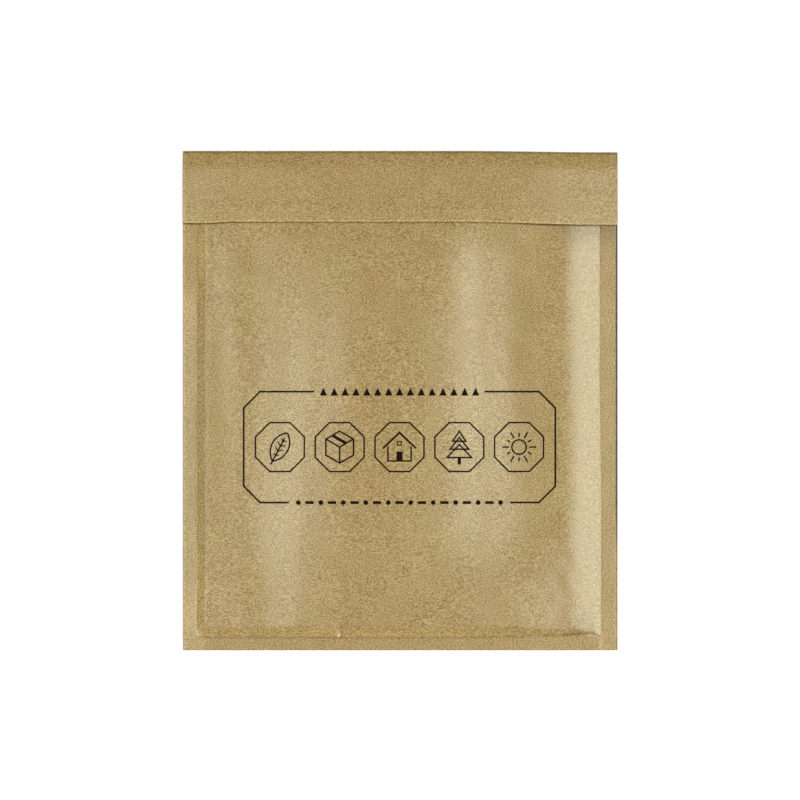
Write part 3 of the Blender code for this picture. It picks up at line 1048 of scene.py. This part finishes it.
class Nodes:
    """Short calls to make and link one material's shader nodes."""

    def __init__(self, name):
        self.material = bpy.data.materials.new(name)
        self.material.use_nodes = True
        self.tree = self.material.node_tree
        self.shader = self.tree.nodes["Principled BSDF"]

    def add(self, kind, inputs=(), **settings):
        node = self.tree.nodes.new(kind)
        for key, value in settings.items():
            setattr(node, key, value)
        for key, value in dict(inputs).items():
            self.plug(value, node.inputs[key])
        return node

    def plug(self, value, socket):
        if isinstance(value, bpy.types.NodeSocket):
            self.tree.links.new(value, socket)
        else:
            socket.default_value = value

    def place(self, scale):
        """Object coordinates, stretched by scale along X, Y and Z."""
        coordinates = self.add("ShaderNodeTexCoord").outputs["Object"]
        inputs = {0: coordinates, 1: scale}
        return self.add("ShaderNodeVectorMath", inputs, operation="MULTIPLY").outputs[0]

    def noise(self, scale, stretch=(1, 1, 1), detail=2.0, roughness=0.5):
        inputs = {
            "Vector": self.place(stretch),
            "Scale": scale,
            "Detail": detail,
            "Roughness": roughness,
        }
        return self.add("ShaderNodeTexNoise", inputs).outputs["Fac"]

    def span(self, value, low, high, to_low=0.0, to_high=1.0):
        inputs = {
            "Value": value,
            "From Min": low,
            "From Max": high,
            "To Min": to_low,
            "To Max": to_high,
        }
        return self.add("ShaderNodeMapRange", inputs).outputs[0]

    def math(self, operation, *values):
        inputs = dict(enumerate(values))
        return self.add("ShaderNodeMath", inputs, operation=operation).outputs[0]

    def mix(self, factor, first, second, blend="MIX"):
        node = self.add("ShaderNodeMix", data_type="RGBA", blend_type=blend)
        self.plug(factor, node.inputs[0])
        self.plug(first, node.inputs[6])
        self.plug(second, node.inputs[7])
        return node.outputs[2]

    def attribute(self, name):
        return self.add("ShaderNodeAttribute", attribute_name=name).outputs["Fac"]

    def bump(self, height, strength, distance):
        inputs = {"Height": height, "Strength": strength, "Distance": distance}
        return self.add("ShaderNodeBump", inputs).outputs[0]

    def finish(self, **values):
        for key, value in values.items():
            self.plug(value, self.shader.inputs[key.replace("_", " ")])
        return self.material


# Colours
KRAFT_DARK = (0.193, 0.114, 0.028, 1)
KRAFT_LIGHT = (0.542, 0.400, 0.165, 1)
KRAFT_PINK = (0.420, 0.255, 0.105, 1)
KRAFT_OLIVE = (0.350, 0.270, 0.070, 1)
SPECK = (0.075, 0.048, 0.022, 1)
INK = (0.009, 0.0035, 0.0016, 1)
PALE_FIBRE = (0.66, 0.51, 0.26, 1)
HAZE_COLOURS = ((0.80, 0.83, 0.85, 1), (0.90, 0.92, 0.93, 1))
RELEASE_COLOURS = ((0.74, 0.70, 0.56, 1), (0.84, 0.81, 0.68, 1))
ADHESIVE_COLOURS = ((0.66, 0.60, 0.42, 1), (0.80, 0.76, 0.60, 1))
WHITE = (1, 1, 1, 1)
# Scales of the paper's noises, and how each is stretched
GRAIN_SCALE = 1700
GRAIN_STRETCH = (0.58, 1, 1)
STREAK_SCALE = 700
STREAK_STRETCH = (0.22, 1.7, 1)
MOTTLE_SCALE = 75
HUE_SCALE = 34
SPECK_SCALE = 330.0
SPECK_STRETCH = (0.6, 1, 1)
# How strongly they show, and what the painted shade and painted highlight marks do to the
# colour
MOTTLE_SHADES = (0.945, 1.055)
TINT_SHARE = 0.16
FIBRE_SHARE = 0.28
SPECK_SHARE = 0.8
STREAK_RELIEF = 0.5
SHADE_FULL = 2.0
SHADE_DARKEST = 0.07
HIGHLIGHT_LIGHTEST = 1.35
# Sheen of the paper, dimmed under the painted shade
KRAFT_ROUGHNESS = (0.16, 0.20)
KRAFT_SPECULAR = (0.5, 0.05)
KRAFT_SHEEN = (0.97, 1.0, 0.86, 1)
DULL_FROM = 0.2
DULL_TO = 1.4


def kraft_material():
    n = Nodes("kraft paper")
    grain = n.noise(GRAIN_SCALE, GRAIN_STRETCH, roughness=0.55)
    streak = n.noise(STREAK_SCALE, STREAK_STRETCH)
    mottle = n.noise(MOTTLE_SCALE, detail=3.0, roughness=0.6)
    hue = n.noise(HUE_SCALE)
    colour = n.mix(n.span(grain, 0.36, 0.64), KRAFT_DARK, KRAFT_LIGHT)
    tint = n.mix(n.span(hue, 0.38, 0.62), KRAFT_PINK, KRAFT_OLIVE)
    colour = n.mix(TINT_SHARE, colour, tint)
    colour = n.mix(n.span(streak, 0.62, 0.78, 0, FIBRE_SHARE), colour, PALE_FIBRE)
    shade = n.span(mottle, 0.25, 0.75, *MOTTLE_SHADES)
    # Painted shade from folds, hollows and the flap's edge, with the left seam's random
    # darker tone; it darkens the colour and dims the sheen
    fold = n.attribute("painted_shade_and_tone")
    # Painted highlights, with the left seam's random lighter tone
    lightening = n.attribute("painted_light_and_tone")
    shade = n.math("MULTIPLY", shade, n.span(fold, 0, SHADE_FULL, 1, SHADE_DARKEST))
    shade = n.math("MULTIPLY", shade, n.span(lightening, 0, 1, 1, HIGHLIGHT_LIGHTEST))
    scale = n.add("ShaderNodeCombineColor", {0: shade, 1: shade, 2: shade}).outputs[0]
    colour = n.mix(1.0, colour, scale, blend="MULTIPLY")
    inputs = {"Vector": n.place(SPECK_STRETCH), "Scale": SPECK_SCALE}
    cells = n.add("ShaderNodeTexVoronoi", inputs)
    chosen = n.add("ShaderNodeSeparateColor", {0: cells.outputs["Color"]}).outputs[0]
    spot = n.span(cells.outputs["Distance"], 0.16, 0.08)
    speck = n.math("MULTIPLY", spot, n.span(chosen, 0.965, 0.975))
    colour = n.mix(n.math("MULTIPLY", speck, SPECK_SHARE), colour, SPECK)
    relief = n.math("ADD", grain, n.math("MULTIPLY", streak, STREAK_RELIEF))
    return n.finish(
        Base_Color=colour,
        Roughness=n.span(mottle, 0.3, 0.7, *KRAFT_ROUGHNESS),
        # The painted shade also dims the sheen
        Specular_IOR_Level=n.span(fold, DULL_FROM, DULL_TO, *KRAFT_SPECULAR),
        Specular_Tint=KRAFT_SHEEN,
        Normal=n.bump(relief, 0.10, 0.00004),
    )


def film_material():
    n = Nodes("bubble film")
    haze = n.noise(90)
    return n.finish(
        Base_Color=n.mix(n.span(haze, 0.3, 0.7), *HAZE_COLOURS),
        Roughness=n.span(haze, 0.3, 0.7, 0.16, 0.30),
        Alpha=0.45,
        Normal=n.bump(n.noise(400), 0.1, 0.0001),
    )


def release_material():
    n = Nodes("release paper")
    grain = n.noise(900, (0.6, 1, 1))
    return n.finish(
        Base_Color=n.mix(grain, *RELEASE_COLOURS),
        Roughness=n.span(grain, 0.3, 0.7, 0.30, 0.42),
        Normal=n.bump(grain, 0.1, 0.00005),
    )


def adhesive_material():
    n = Nodes("hot-melt adhesive")
    streak = n.noise(300, (0.2, 1, 1))
    return n.finish(
        Base_Color=n.mix(streak, *ADHESIVE_COLOURS),
        Roughness=n.span(streak, 0.3, 0.7, 0.15, 0.35),
        Normal=n.bump(streak, 0.2, 0.0001),
    )


def ink_material():
    n = Nodes("print ink")
    lightening = n.noise(1400)
    worn = n.span(lightening, 0.62, 0.85, 0, 0.35)
    return n.finish(
        Base_Color=n.mix(worn, INK, KRAFT_DARK),
        Roughness=n.span(lightening, 0.3, 0.7, 0.55, 0.70),
        Normal=n.bump(lightening, 0.15, 0.00005),
        Specular_IOR_Level=0.05,
    )


def repaint(node, material):
    """Gives a CAD solid that shows its own material."""
    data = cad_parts[node].data
    data.materials.clear()
    data.materials.append(material)


# Floor, lights and camera

FLOOR_HALF = 4.0
FLOOR_COLOUR = (0.86, 0.86, 0.86, 1)
FLOOR_GLOW = 0.42
WORLD_LEVEL = 0.27
LENS = 150.0
CAMERA_AT = (-0.00013, 0.00038, 1.8449)

Lamp = namedtuple("Lamp", "name place size power")
LAMPS = (
    Lamp("key", (2.15, -0.50, 7.50), (2.6, 3.8), 240.0),
    Lamp("fill", (-2.15, -0.50, 7.50), (2.6, 3.8), 190.0),
    Lamp("front", (1.20, -3.60, 2.40), (1.6, 1.2), 60.0),
)


def build_floor():
    mesh = bpy.data.meshes.new("floor")
    half = FLOOR_HALF
    corners = [(-half, -half, 0), (half, -half, 0), (half, half, 0), (-half, half, 0)]
    mesh.from_pydata(corners, [], [(0, 1, 2, 3)])
    floor = bpy.data.objects.new("floor", mesh)
    bpy.context.scene.collection.objects.link(floor)
    n = Nodes("floor")
    seen = n.add("ShaderNodeLightPath").outputs
    rays = n.math("MAXIMUM", seen["Is Camera Ray"], seen["Is Glossy Ray"])
    rays = n.math("MAXIMUM", rays, seen["Is Transmission Ray"])
    glow = n.math("MULTIPLY", rays, FLOOR_GLOW)
    mesh.materials.append(
        n.finish(
            Base_Color=FLOOR_COLOUR,
            Roughness=0.9,
            Emission_Color=WHITE,
            Emission_Strength=glow,
        )
    )


def build_world():
    world = bpy.data.worlds.new("studio")
    bpy.context.scene.world = world
    world.use_nodes = True
    tree = world.node_tree
    background = tree.nodes["Background"]
    path = tree.nodes.new("ShaderNodeLightPath")
    level = tree.nodes.new("ShaderNodeMapRange")
    level.inputs["To Min"].default_value = WORLD_LEVEL
    level.inputs["To Max"].default_value = 1.0
    tree.links.new(path.outputs["Is Camera Ray"], level.inputs["Value"])
    tree.links.new(level.outputs[0], background.inputs["Strength"])
    background.inputs["Color"].default_value = WHITE


def build_lamps():
    for lamp in LAMPS:
        data = bpy.data.lights.new(lamp.name, "AREA")
        data.shape = "RECTANGLE"
        data.size, data.size_y = lamp.size
        data.energy = lamp.power
        made = bpy.data.objects.new(lamp.name, data)
        made.location = lamp.place
        x, y, z = lamp.place
        tip = -math.asin(y / Vector(lamp.place).length)
        made.rotation_euler = (tip, math.atan2(x, z), 0)  # faces the envelope
        bpy.context.scene.collection.objects.link(made)


def build_camera():
    data = bpy.data.cameras.new("camera")
    data.lens = LENS
    data.clip_start = 0.01
    made = bpy.data.objects.new("camera", data)
    made.location = CAMERA_AT
    bpy.context.scene.collection.objects.link(made)
    bpy.context.scene.camera = made


def main():
    bpy.context.scene.view_settings.view_transform = "Standard"
    build_camera()
    build_world()
    build_lamps()
    build_floor()
    paper = build_paper(kraft_material())
    build_film(film_material())
    build_print(paper, ink_material())
    repaint("release_strip", release_material())
    repaint("adhesive_strip", adhesive_material())


main()
bpy.context.view_layer.update()
